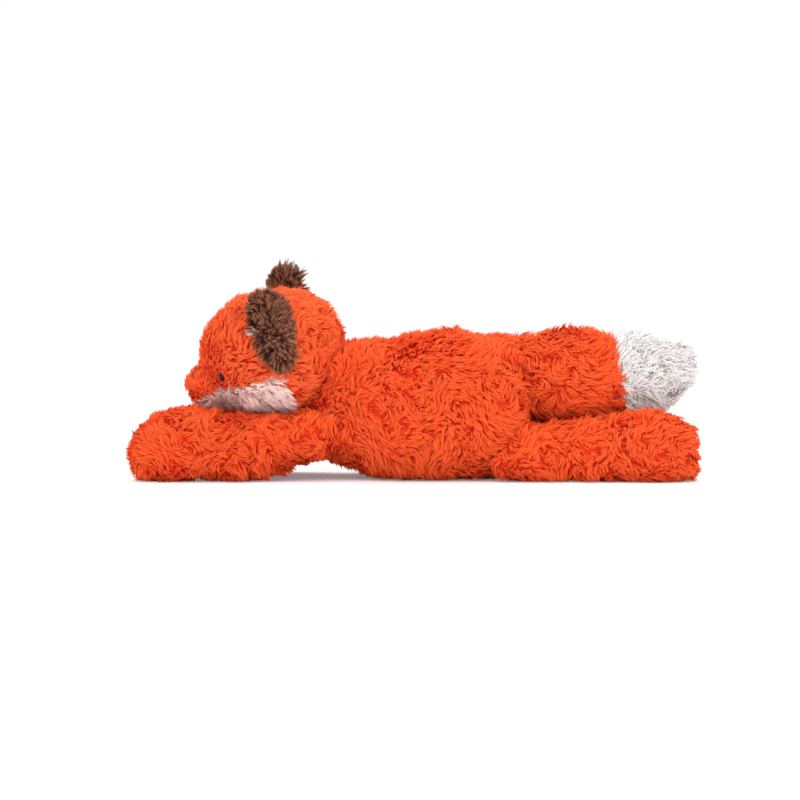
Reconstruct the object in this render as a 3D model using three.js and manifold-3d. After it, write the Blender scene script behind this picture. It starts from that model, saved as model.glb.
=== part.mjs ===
// Plush fox lying flat on its belly, front legs stretched forward and hind legs back.
// Millimetres, +Z up, origin on the floor under the middle of the toy.
// The nose points to -X and the tail to +X, so the toy's own left side is -Y.

import * as THREE from 'three';
import { mergeVertices } from 'three/addons/utils/BufferGeometryUtils.js';
import Module from 'manifold-3d';

const wasm = await Module();
wasm.setup();

// Cloth and gaps; a swing gap covers the flats of the facets as a joint bends
const PILE = 5;
const GAP = 0.35;
const SWING_GAP = 2;
const SOCKET_EASE = 1.05;
const POUCH_WALL = 1;

// Heights that the toy rests at: the floor, and the chin on the front legs
const FLOOR = 0;
const CHIN = 43.4;

// Facets round and along each form, its hidden inside and the room that it swings through
const OUTSIDE = { sides: 20, rings: 11 };
const INSIDE = { sides: 12, rings: 6 };
const SWING = { sides: 12, rings: 8 };
const TURNED_SIDES = 8;

// Sewn joints: where each one bends, about which line, and how far in degrees
const LEFT = -1;
const RIGHT = 1;
const EAR_TURN = THREE.MathUtils.degToRad(28);
const ASIDE = new THREE.Vector3(0, 1, 0);
const NECK = { at: new THREE.Vector3(-58, 0, 62), axis: ASIDE, reach: 25, knob: 24 };
const TAIL_ROOT = { at: new THREE.Vector3(60, 0, 62), axis: ASIDE.clone().negate(), reach: 30, knob: 12 };
const shoulder = (side) => ({
  at: new THREE.Vector3(-50, side * 30, 29),
  axis: new THREE.Vector3(0, 0, -side),
  reach: 35,
  knob: 8.5,
});
const hip = (side) => ({
  at: new THREE.Vector3(56, side * 33, 16.5),
  axis: new THREE.Vector3(0, 0, side),
  reach: 30,
  knob: 9,
});

// Swelling forms along X: where each starts and ends, how blunt its ends are, how square its
// section is above and below, then its middle height, half width and half height along X
const BODY = {
  from: -66, to: 70, blunt: 5, squareAbove: 2.2, squareBelow: 3.2,
  middle: [[-66, 47.5], [-46, 46], [-30, 44.2], [-18, 43.3], [24, 45.3], [50, 44], [70, 44]],
  wide: [[-66, 41], [-40, 48.5], [-10, 53.5], [20, 55], [50, 54], [70, 49]],
  tall: [[-66, 38], [-46, 39.5], [-30, 41.2], [-18, 43.7], [24, 46.2], [50, 46], [62, 50], [70, 51]],
};
const SKULL = {
  from: -136, to: -43, blunt: 2.2, squareAbove: 2.2, squareBelow: 2.6,
  middle: 77.5, wide: 47, tall: [[-136, 37.5], [-106, 37.8], [-92, 39.4], [-65, 42], [-43, 40.5]],
};
const SNOUT = {
  from: -146, to: -100, blunt: 2.6, squareAbove: 2.2, squareBelow: 2.4,
  middle: 57.5, wide: 21.5, tall: 16,
};
const FRONT_LEG = {
  from: -175, to: -30, blunt: 5, squareAbove: 2.2, squareBelow: 2.8,
  middle: [[-175, 15], [-160, 18.5], [-150, 20], [-105, 21], [-85, 22.5], [-67, 26.3], [-50, 29.2]],
  wide: [[-175, 22], [-150, 23.5], [-100, 21.5], [-65, 19.5], [-50, 17.5], [-35, 13]],
  tall: [[-175, 21], [-160, 22.2], [-150, 22.2], [-105, 21], [-85, 19.5], [-67, 16.8], [-50, 15]],
};
const HIND_LEG = {
  from: 42, to: 175, blunt: 4.5, squareAbove: 2.2, squareBelow: 2.8,
  middle: [[44, 15.5], [60, 16.5], [80, 17.6], [110, 18.6], [145, 20.8], [160, 19.7], [175, 16]],
  wide: [[44, 19.5], [75, 19.5], [110, 20.5], [150, 23], [175, 21.5]],
  tall: [[44, 16.5], [60, 17.5], [80, 19], [110, 20], [145, 22.2], [160, 21.7], [175, 19]],
};
const TAIL = {
  from: 40, to: 175, blunt: 4, squareAbove: 2.1, squareBelow: 2.1,
  middle: [[62, 62], [95, 61.8], [122, 62.5], [150, 62.6], [162, 64.5], [176, 71]],
  wide: [[56, 22], [80, 26.5], [100, 28.5], [122, 26.5], [150, 22], [176, 13]],
  tall: [[56, 23.5], [68, 26], [80, 28.8], [100, 31], [122, 26.8], [150, 22], [162, 19.5], [176, 12.5]],
};
const POUCH = {
  from: -28, to: 46, blunt: 2.8, squareAbove: 2.2, squareBelow: 2.2,
  middle: 15, wide: 30, tall: 13,
};
const POUCH_MOUTH = 5;
const EAR = {
  from: -5, to: 50, blunt: 3, squareAbove: 2, squareBelow: 2,
  middle: 0, wide: [[-5, 7.5], [8, 11.5], [24, 16.5], [38, 16.5], [50, 14]], tall: 6,
};

// Where the ears stand; the toy's right ear is sewn higher, and stands straighter
const EARS = {
  left: { side: LEFT, x: -81, out: 49, z: 71, lean: 9 },
  right: { side: RIGHT, x: -82, out: 49, z: 86, lean: 0 },
};
const EAR_INWARD = 4;
const EAR_CLEAR = 0.8;

// Outline of the white cheek, [x, z], from under the snout round to behind the jaw
const CHEEK = [
  [-138, 40], [-136, 47.5], [-122, 51], [-116, 56], [-98, 60.5], [-89, 64.5], [-81, 67.5], [-77, 59],
  [-73, 49], [-73, 40],
];
const CHEEK_MIDDLE = new THREE.Vector2(-102, 52);

// White tail tip: where the seam crosses the middle, and its slant from upright
const TIP_SEAM_X = 123;
const TIP_SEAM_SLANT = THREE.MathUtils.degToRad(7);

// Safety eyes and nose: rounded button, ribbed shank and locking washer behind the cloth
const EYE = {
  x: -120, out: 31, z: 63.5, setIn: 2.8, round: 3, deep: 2.4,
  shank: 1.2, length: 12, washer: 5, behindCloth: 1.6,
};
const NOSE = {
  z: 54.5, setIn: 3, wide: 6.5, high: 4.5, deep: 2.8,
  shank: 1.8, length: 12, washer: 6, behindCloth: 2.5,
};
const WASHER_THICK = 1.2;

// Closing seam under the belly, pulled together by one zigzag of thread
const SEAM = { from: -18, to: 38, width: 3.2, inset: 2, stitches: 9, swing: 0.7, thread: 0.4, height: 2.4 };

// Smooth curve through hand-chosen [x, value] points, flat past its ends; a plain number is constant
function curveThrough(points) {
  if (typeof points === 'number') {
    return () => points;
  }
  const last = points.length - 1;
  const slopes = points.map((point, i) => {
    const before = points[Math.max(i - 1, 0)];
    const after = points[Math.min(i + 1, last)];
    return (after[1] - before[1]) / (after[0] - before[0]);
  });
  return (x) => {
    const clamped = THREE.MathUtils.clamp(x, points[0][0], points[last][0]);
    const i = Math.min(points.findLastIndex((point) => point[0] <= clamped), last - 1);
    const span = points[i + 1][0] - points[i][0];
    const t = (clamped - points[i][0]) / span;
    const start = points[i][1] * (1 + 2 * t) + slopes[i] * span * t;
    const end = points[i + 1][1] * (3 - 2 * t) - slopes[i + 1] * span * (1 - t);
    return start * (1 - t) ** 2 + end * t ** 2;
  };
}

// Closed solid from a geometry
function solidOf(geometry) {
  const bare = geometry.clone();
  bare.deleteAttribute('normal');
  bare.deleteAttribute('uv');
  const merged = mergeVertices(bare);
  return new wasm.Manifold(new wasm.Mesh({
    numProp: 3,
    vertProperties: new Float32Array(merged.attributes.position.array),
    triVerts: new Uint32Array(merged.index.array),
  }));
}

// Stuffed form along X, its surface moved outward by grow
function pod(form, grow = 0, facets = OUTSIDE) {
  const middleAt = curveThrough(form.middle);
  const wideAt = curveThrough(form.wide);
  const tallAt = curveThrough(form.tall);
  const centre = (form.from + form.to) / 2;
  const half = (form.to - form.from) / 2;
  const power = (value, square) => Math.sign(value) * Math.abs(value) ** (2 / square);

  const positions = [centre - half - grow, 0, middleAt(form.from)];
  for (let ring = 1; ring < facets.rings; ring++) {
    const along = -Math.cos((Math.PI * ring) / facets.rings);
    const x = centre + half * along;
    const round = (1 - Math.abs(along) ** form.blunt) ** (1 / form.blunt);
    for (let side = 0; side < facets.sides; side++) {
      const angle = (2 * Math.PI * side) / facets.sides;
      const square = Math.sin(angle) < 0 ? form.squareBelow : form.squareAbove;
      positions.push(
        centre + (half + grow) * along,
        (wideAt(x) + grow) * round * power(Math.cos(angle), square),
        middleAt(x) + (tallAt(x) + grow) * round * power(Math.sin(angle), square),
      );
    }
  }
  positions.push(centre + half + grow, 0, middleAt(form.to));

  const index = [];
  const vertex = (ring, side) => 1 + (ring - 1) * facets.sides + (side % facets.sides);
  const tip = 1 + (facets.rings - 1) * facets.sides;
  for (let side = 0; side < facets.sides; side++) {
    index.push(0, vertex(1, side + 1), vertex(1, side));
    for (let ring = 1; ring < facets.rings - 1; ring++) {
      index.push(vertex(ring, side), vertex(ring, side + 1), vertex(ring + 1, side));
      index.push(vertex(ring, side + 1), vertex(ring + 1, side + 1), vertex(ring + 1, side));
    }
    index.push(tip, vertex(facets.rings - 1, side), vertex(facets.rings - 1, side + 1));
  }
  const geometry = new THREE.BufferGeometry();
  geometry.setAttribute('position', new THREE.Float32BufferAttribute(positions, 3));
  geometry.setIndex(index);
  return solidOf(geometry);
}

function ball(centre, radius) {
  const sphere = new THREE.SphereGeometry(radius, INSIDE.sides, INSIDE.rings);
  return solidOf(sphere).translate([centre.x, centre.y, centre.z]);
}

// The knob that a sewn-on piece bends over, and the hollow in that piece
const knob = (joint) => ball(joint.at, joint.knob);
const socket = (joint) => ball(joint.at, joint.knob * SOCKET_EASE + GAP);

// Piece turned about a sewn joint
function turned(piece, joint, degrees) {
  const turn = new THREE.Matrix4().makeRotationAxis(joint.axis, THREE.MathUtils.degToRad(degrees));
  const there = new THREE.Matrix4().makeTranslation(joint.at);
  const back = new THREE.Matrix4().makeTranslation(joint.at.clone().negate());
  return piece.transform(there.multiply(turn).multiply(back).elements);
}

// All the room that a piece passes through as its joint bends
function swept(piece, joint, steps = 2) {
  let room = piece;
  for (let step = 1; step <= steps; step++) {
    room = room.add(turned(piece, joint, (joint.reach * step) / steps));
  }
  return room;
}

const above = (piece, height) => piece.trimByPlane([0, 0, 1], height);
const inFrontOf = (piece, x, grow = 0) => piece.trimByPlane([-1, 0, 0], -x - grow);
const behind = (piece, x, grow = 0) => piece.trimByPlane([1, 0, 0], x - grow);
const mirrored = (piece) => piece.mirror([0, 1, 0]);

// Part of revolution about an axis that leaves the cloth, from a profile of [radius, height]
function turnedPart(profile, at, outward) {
  const points = profile.map(([radius, height]) => new THREE.Vector2(radius, height));
  const upright = new THREE.Vector3(0, 1, 0);
  const turn = new THREE.Quaternion().setFromUnitVectors(upright, outward);
  const place = new THREE.Matrix4().compose(at, turn, new THREE.Vector3(1, 1, 1));
  return solidOf(new THREE.LatheGeometry(points, TURNED_SIDES).applyMatrix4(place));
}

// Legs: sleeve of fur cloth, open where it is sewn on, round its own stuffing
function leg(form, joint, keep) {
  const place = (piece) => piece.translate([0, joint.at.y, 0]);
  const outside = above(pod(form), FLOOR);
  const inside = above(pod(form, -PILE, INSIDE), PILE);
  const filling = above(pod(form, -PILE - GAP, INSIDE), PILE + GAP);
  const room = place(keep(pod(form, SWING_GAP, SWING), joint.at.x));
  return {
    skin: place(keep(outside.subtract(inside), joint.at.x)),
    stuffing: place(keep(filling, joint.at.x)).subtract(socket(joint)),
    room: swept(room, joint),
    around: (grow) => place(keep(pod(form, grow, INSIDE), joint.at.x, grow)),
  };
}
const legs = {};
for (const [name, side] of [['left', LEFT], ['right', RIGHT]]) {
  legs[`${name}_front_leg`] = leg(FRONT_LEG, shoulder(side), inFrontOf);
  legs[`${name}_hind_leg`] = leg(HIND_LEG, hip(side), behind);
}

// Tail: orange sleeve and white tip, sewn end to end round one stuffing
function beyondSeam(piece, gap) {
  const normal = [Math.cos(TIP_SEAM_SLANT), 0, Math.sin(TIP_SEAM_SLANT)];
  const offset = TIP_SEAM_X * normal[0] + curveThrough(TAIL.middle)(TIP_SEAM_X) * normal[2];
  return piece.trimByPlane(normal, offset + gap / 2);
}
function beforeSeam(piece, gap) {
  const normal = [-Math.cos(TIP_SEAM_SLANT), 0, -Math.sin(TIP_SEAM_SLANT)];
  const offset = TIP_SEAM_X * normal[0] + curveThrough(TAIL.middle)(TIP_SEAM_X) * normal[2];
  return piece.trimByPlane(normal, offset + gap / 2);
}
const tailWall = behind(pod(TAIL).subtract(pod(TAIL, -PILE, INSIDE)), TAIL_ROOT.at.x);
const tailSkin = beforeSeam(tailWall, GAP);
const tailTip = beyondSeam(tailWall, GAP);
const tailStuffing = behind(pod(TAIL, -PILE - GAP, INSIDE), TAIL_ROOT.at.x).subtract(socket(TAIL_ROOT));
const tailRoom = swept(behind(pod(TAIL, SWING_GAP, SWING), TAIL_ROOT.at.x), TAIL_ROOT);

// Head: skull and snout in one skin, open at the neck, with white cheeks sewn in
const headForm = (grow, facets) => above(
  pod(SKULL, grow, facets).add(pod(SNOUT, grow, facets)),
  CHIN - grow,
);

function cheekRegion(side, grow) {
  const outline = CHEEK.map(([x, z]) => {
    const point = new THREE.Vector2(x, z);
    const away = point.clone().sub(CHEEK_MIDDLE).setLength(grow);
    return point.add(away);
  });
  const depth = SKULL.wide * 1.5;
  const slab = new THREE.ExtrudeGeometry(new THREE.Shape(outline), { depth, bevelEnabled: false });
  slab.rotateX(Math.PI / 2);
  slab.translate(0, side === LEFT ? grow - GAP / 2 : depth - grow + GAP / 2, 0);
  return solidOf(slab);
}

// Button on a shank, and the washer that locks it, both standing on an axis out of the cloth
function button({ round, deep, shank, length }, at, outward) {
  const profile = [[0, -length], [shank, -length], [shank, 0], [round, 0]];
  for (const degrees of [25, 50, 72]) {
    const angle = THREE.MathUtils.degToRad(degrees);
    profile.push([round * Math.cos(angle), deep * Math.sin(angle)]);
  }
  profile.push([0, deep]);
  return turnedPart(profile, at, outward);
}
function washer({ shank, washer: round }, at, outward, depth) {
  const bore = shank + GAP;
  const low = -depth - WASHER_THICK;
  const ring = [[bore, low], [round, low], [round, -depth], [bore, -depth], [bore, low]];
  return turnedPart(ring, at, outward);
}

// The room that both need in the skin and the stuffing
function buttonRoom({ round, shank, length, washer: wide }, at, outward, depth) {
  const clear = GAP * 1.5;
  const hole = [[0, -length - clear], [shank + clear, -length - clear], [shank + clear, -clear]];
  const pocket = [[round + clear, -clear], [round + clear, PILE], [0, PILE]];
  const low = -depth - WASHER_THICK - clear;
  const high = -depth + clear;
  const recess = [[0, low], [wide + clear, low], [wide + clear, high], [0, high]];
  return turnedPart([...hole, ...pocket], at, outward).add(turnedPart(recess, at, outward));
}

const washerDepth = ({ setIn, behindCloth }) => PILE - setIn + behindCloth;
const eyeOutward = new THREE.Vector3(-0.5, -0.86, -0.1).normalize();
const eyeAt = new THREE.Vector3(EYE.x, -EYE.out, EYE.z).addScaledVector(eyeOutward, -EYE.setIn);
const leftEye = button(EYE, eyeAt, eyeOutward);
const leftEyeWasher = washer(EYE, eyeAt, eyeOutward, washerDepth(EYE));
const leftEyeRoom = buttonRoom(EYE, eyeAt, eyeOutward, washerDepth(EYE));

const noseOutward = new THREE.Vector3(-1, 0, 0);
const noseAt = new THREE.Vector3(SNOUT.from + NOSE.setIn, 0, NOSE.z);
const NOSE_SHAPE = { ...NOSE, round: NOSE.wide };
const flattened = (piece) => piece
  .translate([0, 0, -NOSE.z])
  .scale([1, 1, NOSE.high / NOSE.wide])
  .translate([0, 0, NOSE.z]);
const nose = flattened(button(NOSE_SHAPE, noseAt, noseOutward));
const noseWasher = washer(NOSE, noseAt, noseOutward, washerDepth(NOSE));
const noseRoom = buttonRoom(NOSE_SHAPE, noseAt, noseOutward, washerDepth(NOSE));

// Ears: a fur back and a pale front, sewn edge to edge; each stands on the side of the head
function earJoint({ side, x, out, z }) {
  return {
    at: new THREE.Vector3(x, side * out, z),
    axis: new THREE.Vector3(-side * Math.cos(EAR_TURN), Math.sin(EAR_TURN), 0),
    reach: 50,
  };
}
function ear(place) {
  const joint = earJoint(place);
  const outward = new THREE.Vector3(Math.sin(EAR_TURN), place.side * Math.cos(EAR_TURN), 0);
  const tip = new THREE.Vector3(-Math.sin(THREE.MathUtils.degToRad(place.lean)), 0, 1);
  tip.addScaledVector(outward, -Math.sin(THREE.MathUtils.degToRad(EAR_INWARD))).normalize();
  const across = new THREE.Vector3().crossVectors(outward, tip).normalize();
  const back = new THREE.Vector3().crossVectors(tip, across);
  const frame = new THREE.Matrix4().makeBasis(tip, across, back).setPosition(joint.at);
  const away = { ...joint, reach: -joint.reach };
  const head = swept(headForm(EAR_CLEAR, OUTSIDE), away, 3);
  const form = pod(EAR, 0, INSIDE);
  const cut = (piece) => piece.transform(frame.elements).subtract(head);
  return {
    back: cut(form.trimByPlane([0, 0, 1], GAP / 2)),
    front: cut(form.trimByPlane([0, 0, -1], GAP / 2)),
  };
}
const ears = { left: ear(EARS.left), right: ear(EARS.right) };

// Head pieces
const buttonRooms = leftEyeRoom.add(mirrored(leftEyeRoom)).add(noseRoom);
const headWall = headForm(0, OUTSIDE).subtract(headForm(-PILE, INSIDE));
let headSkin = headWall.subtract(socket(NECK)).subtract(buttonRooms);
const cheeks = {};
for (const [name, side] of [['left', LEFT], ['right', RIGHT]]) {
  cheeks[name] = headSkin.intersect(cheekRegion(side, 0));
}
headSkin = headSkin.subtract(cheekRegion(LEFT, GAP)).subtract(cheekRegion(RIGHT, GAP));
const headStuffing = headForm(-PILE - GAP, INSIDE).subtract(socket(NECK)).subtract(buttonRooms);
const headRoom = swept(headForm(SWING_GAP, SWING), NECK);

// Body: skin with a knob under each sewn-on piece, closed under the belly by hand
const rooms = [headRoom, tailRoom, ...Object.values(legs).map((piece) => piece.room)];
const joints = [NECK, TAIL_ROOT, shoulder(LEFT), shoulder(RIGHT), hip(LEFT), hip(RIGHT)];
let bodySkin = above(pod(BODY), FLOOR);
for (const room of rooms) {
  bodySkin = bodySkin.subtract(room);
}
for (const joint of joints) {
  bodySkin = bodySkin.add(knob(joint));
}
function bodyCavity(inset) {
  let form = above(pod(BODY, -inset, INSIDE), FLOOR + inset);
  form = form.subtract(swept(headForm(inset + SWING_GAP, INSIDE), NECK));
  form = form.subtract(swept(behind(pod(TAIL, inset, INSIDE), TAIL_ROOT.at.x, inset), TAIL_ROOT));
  for (const piece of Object.values(legs)) {
    form = form.subtract(piece.around(inset));
  }
  return form;
}
const seamSlot = solidOf(new THREE.BoxGeometry(SEAM.to - SEAM.from, SEAM.width, PILE * 3))
  .translate([(SEAM.from + SEAM.to) / 2, 0, 0]);
bodySkin = bodySkin.subtract(bodyCavity(PILE)).subtract(seamSlot);

// Pellet pouch in the belly, and the stuffing round it
const pouchForm = (inset) => pod(POUCH, -inset, INSIDE).intersect(bodyCavity(PILE + GAP + inset));
const pouchMouth = ball(new THREE.Vector3(POUCH.to, 0, POUCH.middle), POUCH_MOUTH);
const pouch = pouchForm(0).subtract(pouchForm(POUCH_WALL)).subtract(pouchMouth);
const pellets = pouchForm(POUCH_WALL + GAP).subtract(pouchMouth);
const bodyStuffing = bodyCavity(PILE + GAP).subtract(pod(POUCH, GAP, INSIDE));

// Thread of the closing seam, zigzag across it
function closingThread() {
  const corners = [];
  for (let stitch = 0; stitch <= SEAM.stitches; stitch++) {
    const x = THREE.MathUtils.lerp(SEAM.from + SEAM.inset, SEAM.to - SEAM.inset, stitch / SEAM.stitches);
    corners.push(new THREE.Vector3(x, stitch % 2 ? SEAM.swing : -SEAM.swing, SEAM.height));
  }
  const route = new THREE.CatmullRomCurve3(corners);
  const section = new THREE.Shape();
  section.absarc(0, 0, SEAM.thread, 0, 2 * Math.PI);
  return solidOf(new THREE.ExtrudeGeometry(section, {
    extrudePath: route,
    steps: SEAM.stitches * 3,
    curveSegments: 3,
  }));
}

// Looks
const materials = {
  orangeFur: { color: 0xf0521e, roughness: 0.95 },
  whiteFur: { color: 0xece9e6, roughness: 0.95 },
  brownFur: { color: 0x5c3a26, roughness: 0.95 },
  blackPlastic: { color: 0x101010, roughness: 0.15 },
  washerPlastic: { color: 0xe8e8e4, roughness: 0.5 },
  fibre: { color: 0xf5f4f0, roughness: 1 },
  cotton: { color: 0xd8d2c4, roughness: 0.9 },
  pelletPlastic: { color: 0xdadfe2, roughness: 0.5 },
  orangeThread: { color: 0xd8481c, roughness: 0.8 },
};

const fox = new THREE.Group();

// Named mesh from a solid, in one of the looks
function addMesh(name, solid, look) {
  const { vertProperties, triVerts } = solid.getMesh();
  const geometry = new THREE.BufferGeometry();
  geometry.setAttribute('position', new THREE.Float32BufferAttribute(vertProperties, 3));
  geometry.setIndex(new THREE.BufferAttribute(triVerts, 1));
  geometry.computeVertexNormals();
  const mesh = new THREE.Mesh(geometry, new THREE.MeshStandardMaterial({ ...materials[look], metalness: 0 }));
  mesh.name = name;
  fox.add(mesh);
}

addMesh('body_skin', bodySkin, 'orangeFur');
addMesh('body_stuffing', bodyStuffing, 'fibre');
addMesh('pellet_pouch', pouch, 'cotton');
addMesh('pellets', pellets, 'pelletPlastic');
addMesh('closing_thread', closingThread(), 'orangeThread');
addMesh('head_skin', headSkin, 'orangeFur');
addMesh('left_cheek', cheeks.left, 'whiteFur');
addMesh('right_cheek', cheeks.right, 'whiteFur');
addMesh('head_stuffing', headStuffing, 'fibre');
addMesh('left_eye', leftEye, 'blackPlastic');
addMesh('right_eye', mirrored(leftEye), 'blackPlastic');
addMesh('left_eye_washer', leftEyeWasher, 'washerPlastic');
addMesh('right_eye_washer', mirrored(leftEyeWasher), 'washerPlastic');
addMesh('nose', nose, 'blackPlastic');
addMesh('nose_washer', noseWasher, 'washerPlastic');
for (const [name, pieces] of Object.entries(ears)) {
  addMesh(`${name}_ear_back`, pieces.back, 'brownFur');
  addMesh(`${name}_ear_front`, pieces.front, 'whiteFur');
}
for (const [name, pieces] of Object.entries(legs)) {
  addMesh(`${name}_skin`, pieces.skin, 'orangeFur');
  addMesh(`${name}_stuffing`, pieces.stuffing, 'fibre');
}
addMesh('tail_skin', tailSkin, 'orangeFur');
addMesh('tail_tip', tailTip, 'whiteFur');
addMesh('tail_stuffing', tailStuffing, 'fibre');

export default fox;
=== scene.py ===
"""Plush fox lying on its belly: fur cloth with long pile, plastic eyes and nose, on a plain white stage"""

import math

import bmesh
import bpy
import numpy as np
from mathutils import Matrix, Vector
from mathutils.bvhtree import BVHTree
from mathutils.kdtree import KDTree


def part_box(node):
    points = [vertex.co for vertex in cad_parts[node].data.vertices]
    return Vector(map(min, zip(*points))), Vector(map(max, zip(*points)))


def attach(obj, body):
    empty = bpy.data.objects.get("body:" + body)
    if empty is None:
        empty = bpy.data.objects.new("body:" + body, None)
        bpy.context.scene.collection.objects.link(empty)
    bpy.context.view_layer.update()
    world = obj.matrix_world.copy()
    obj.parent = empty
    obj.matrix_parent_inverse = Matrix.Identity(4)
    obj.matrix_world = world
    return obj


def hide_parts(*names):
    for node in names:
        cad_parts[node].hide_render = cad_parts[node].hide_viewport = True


bl_info = {
    "name": "Plush Fox",
    "version": (1, 0, 0),
    "blender": (4, 5, 0),
    "location": "View3D > Sidebar > Fox",
    "description": "Builds a lying plush fox with long pile over a jointed frame",
    "category": "Object",
}

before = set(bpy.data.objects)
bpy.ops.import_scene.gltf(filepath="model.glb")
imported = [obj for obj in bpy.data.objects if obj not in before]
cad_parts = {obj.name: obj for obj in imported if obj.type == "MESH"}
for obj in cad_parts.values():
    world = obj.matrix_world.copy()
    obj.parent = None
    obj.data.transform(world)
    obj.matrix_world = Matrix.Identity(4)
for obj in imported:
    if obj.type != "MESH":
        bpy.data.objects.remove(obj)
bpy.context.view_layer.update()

MM = 0.001
LEFT = -1
RIGHT = 1
SIDES = (("left", LEFT), ("right", RIGHT))
UV_NAME = "OFBake"

# The backing of the fur cloth lies this far inside the pressed pile, and nothing goes under the floor
BACKING_SINK = 4.9 * MM
BACKING_THICK = 0.3 * MM
FLOOR_CLEAR = 0.35 * MM
CHIN = 43.4 * MM

# Fur is left out inside a neighbour's form with the first of these added to it, and squeezed short inside
# it with the second. The head's fur reaches a little further into the body
BURIED = -BACKING_SINK - 2 * MM
BESIDE = -BACKING_SINK + 2.5 * MM
SQUEEZED = 0.5
NECK_REACH = 4 * MM

# Way that the pile lies on the body, and how much it rises along the legs and the tail
BODY_LIE = (0.75, 0, -0.65)
LIMB_RISE = 0.05

# Stuffed forms along X in millimetres, as the frame has them: ends, bluntness of the ends,
# squareness above and below, then middle height, half width and half height along X
BODY = dict(
    ends=(-66, 70), blunt=5, square=(2.2, 3.2),
    middle=((-66, 47.5), (-46, 46), (-30, 44.2), (-18, 43.3), (24, 45.3), (50, 44), (70, 44)),
    wide=((-66, 41), (-40, 48.5), (-10, 53.5), (20, 55), (50, 54), (70, 49)),
    tall=((-66, 38), (-46, 39.5), (-30, 41.2), (-18, 43.7), (24, 46.2), (50, 46), (62, 50), (70, 51)),
)
SKULL = dict(
    ends=(-136, -43), blunt=2.2, square=(2.2, 2.6), middle=77.5, wide=47,
    tall=((-136, 37.5), (-106, 37.8), (-92, 39.4), (-65, 42), (-43, 40.5)),
)
SNOUT = dict(ends=(-146, -100), blunt=2.6, square=(2.2, 2.4), middle=57.5, wide=21.5, tall=16)
FRONT_LEG = dict(
    ends=(-175, -30), blunt=5, square=(2.2, 2.8),
    middle=(
        (-175, 16), (-160, 19.7), (-150, 21), (-135, 21.5), (-105, 21), (-85, 22.5), (-67, 26.3),
        (-50, 29.2)),
    wide=((-175, 22), (-150, 23.5), (-100, 21.5), (-65, 19.5), (-50, 17.5), (-35, 13)),
    tall=(
        (-175, 22), (-160, 23.4), (-150, 23.2), (-135, 22.3), (-105, 21), (-85, 19.5), (-67, 16.8),
        (-50, 15)),
)
HIND_LEG = dict(
    ends=(42, 175), blunt=5.5, square=(2.2, 2.8),
    middle=((44, 15.5), (60, 16.5), (80, 17.6), (110, 18.6), (145, 20.8), (160, 19.7), (175, 16)),
    wide=((44, 19.5), (75, 19.5), (110, 20.5), (150, 23), (175, 21.5)),
    tall=((44, 16.5), (60, 17.5), (80, 19), (110, 20), (145, 22.2), (160, 22), (175, 20)),
)
TAIL = dict(
    ends=(40, 175), blunt=4, square=(2.1, 2.1),
    middle=((62, 62), (95, 61.8), (122, 62.5), (150, 62.6), (162, 64.5), (176, 71)),
    wide=((56, 22), (80, 26.5), (100, 28.5), (122, 26.5), (150, 22), (176, 13)),
    tall=((56, 25), (68, 28.2), (80, 30), (100, 31), (122, 27.2), (150, 23.5), (162, 21), (176, 14)),
)
EAR = dict(
    ends=(1, 43), blunt=4.5, square=(2, 2), middle=0, tall=3.6,
    wide=((1, 3.5), (10, 7), (24, 9.5), (36, 10.5), (43, 10)),
)

# Each pair of legs: its form, how far aside it lies in millimetres, and which way its pile lies along X
LEGS = {"front": (FRONT_LEG, 30, -1), "hind": (HIND_LEG, 33, 1)}

# White cheek outline (x, z) and the slanted seam of the white tail tip, in millimetres
CHEEK = (
    (-142, 36), (-140, 46.5), (-133, 49), (-124, 51.5), (-120, 56), (-103, 59), (-94, 62.5), (-86, 66),
    (-79.5, 58), (-77.5, 48), (-77.5, 36))
TIP_SEAM = Vector((124.5, 0, 62.5)) * MM
TIP_SEAM_NORMAL = Vector((math.cos(math.radians(13)), 0, math.sin(math.radians(13))))

# How far an ear's back turns from straight outward and its tip leans inward. Then each ear's base, how far
# it leans forward, and its width as a share of the form's
EAR_TURN = math.radians(28)
EAR_INWARD = math.radians(4)
EARS = {
    "left": dict(side=LEFT, base=(-81, -49, 71), lean=math.radians(13), slim=1.0),
    "right": dict(side=RIGHT, base=(-82, 49, 85.5), lean=0.0, slim=0.82),
}

# In an ear's own millimetres: where its front cloth begins, the point that its pile fans out from and how
# that spreads, and the white tuft's place, radii and highest point
EAR_SPLIT = -1.2
EAR_FAN = (17, 0, 0)
EAR_FAN_SPREAD = (1, 1.7, 1)
EAR_SPOT = (24, 7.6)
EAR_SPOT_SIZE = (1.7, 1.9)
EAR_SPOT_TOP = 1

# Half width, depth and half height of the buttons, the way that each faces, and how far its rim stands
# outside its washer in millimetres
EYE_SIZE = (2.4 * MM, 2.2 * MM, 2.9 * MM)
EYE_OUTWARD = Vector((-0.5, -0.86, -0.1)).normalized()
EYE_OUT = 3.6
NOSE_SIZE = (6.5 * MM, 1.4 * MM, 4.5 * MM)
NOSE_OUTWARD = Vector((-1, 0, 0))
NOSE_OUT = 2.4

# The back of a button: its rim as a share of the half width, how deep rim and back lie, and the shank's
# radius and end
RIM = 0.96
RIM_DEPTH = 0.4 * MM
BACK_DEPTH = 0.5 * MM
SHANK = 1.5 * MM
SHANK_END = 12 * MM

# Round an eye the pile is shaved this far out and then grows longer, and on the nose there is none
EYE_CLEAR = 2.7 * MM
EYE_FADE = 4 * MM
NOSE_CLEAR = 0.75

# The body's fur is one piece for the back, one for the belly and one for each side
BACK_ABOVE = 58 * MM
BACK_WITHIN = 44 * MM
BELLY_BELOW = 10 * MM


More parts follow.
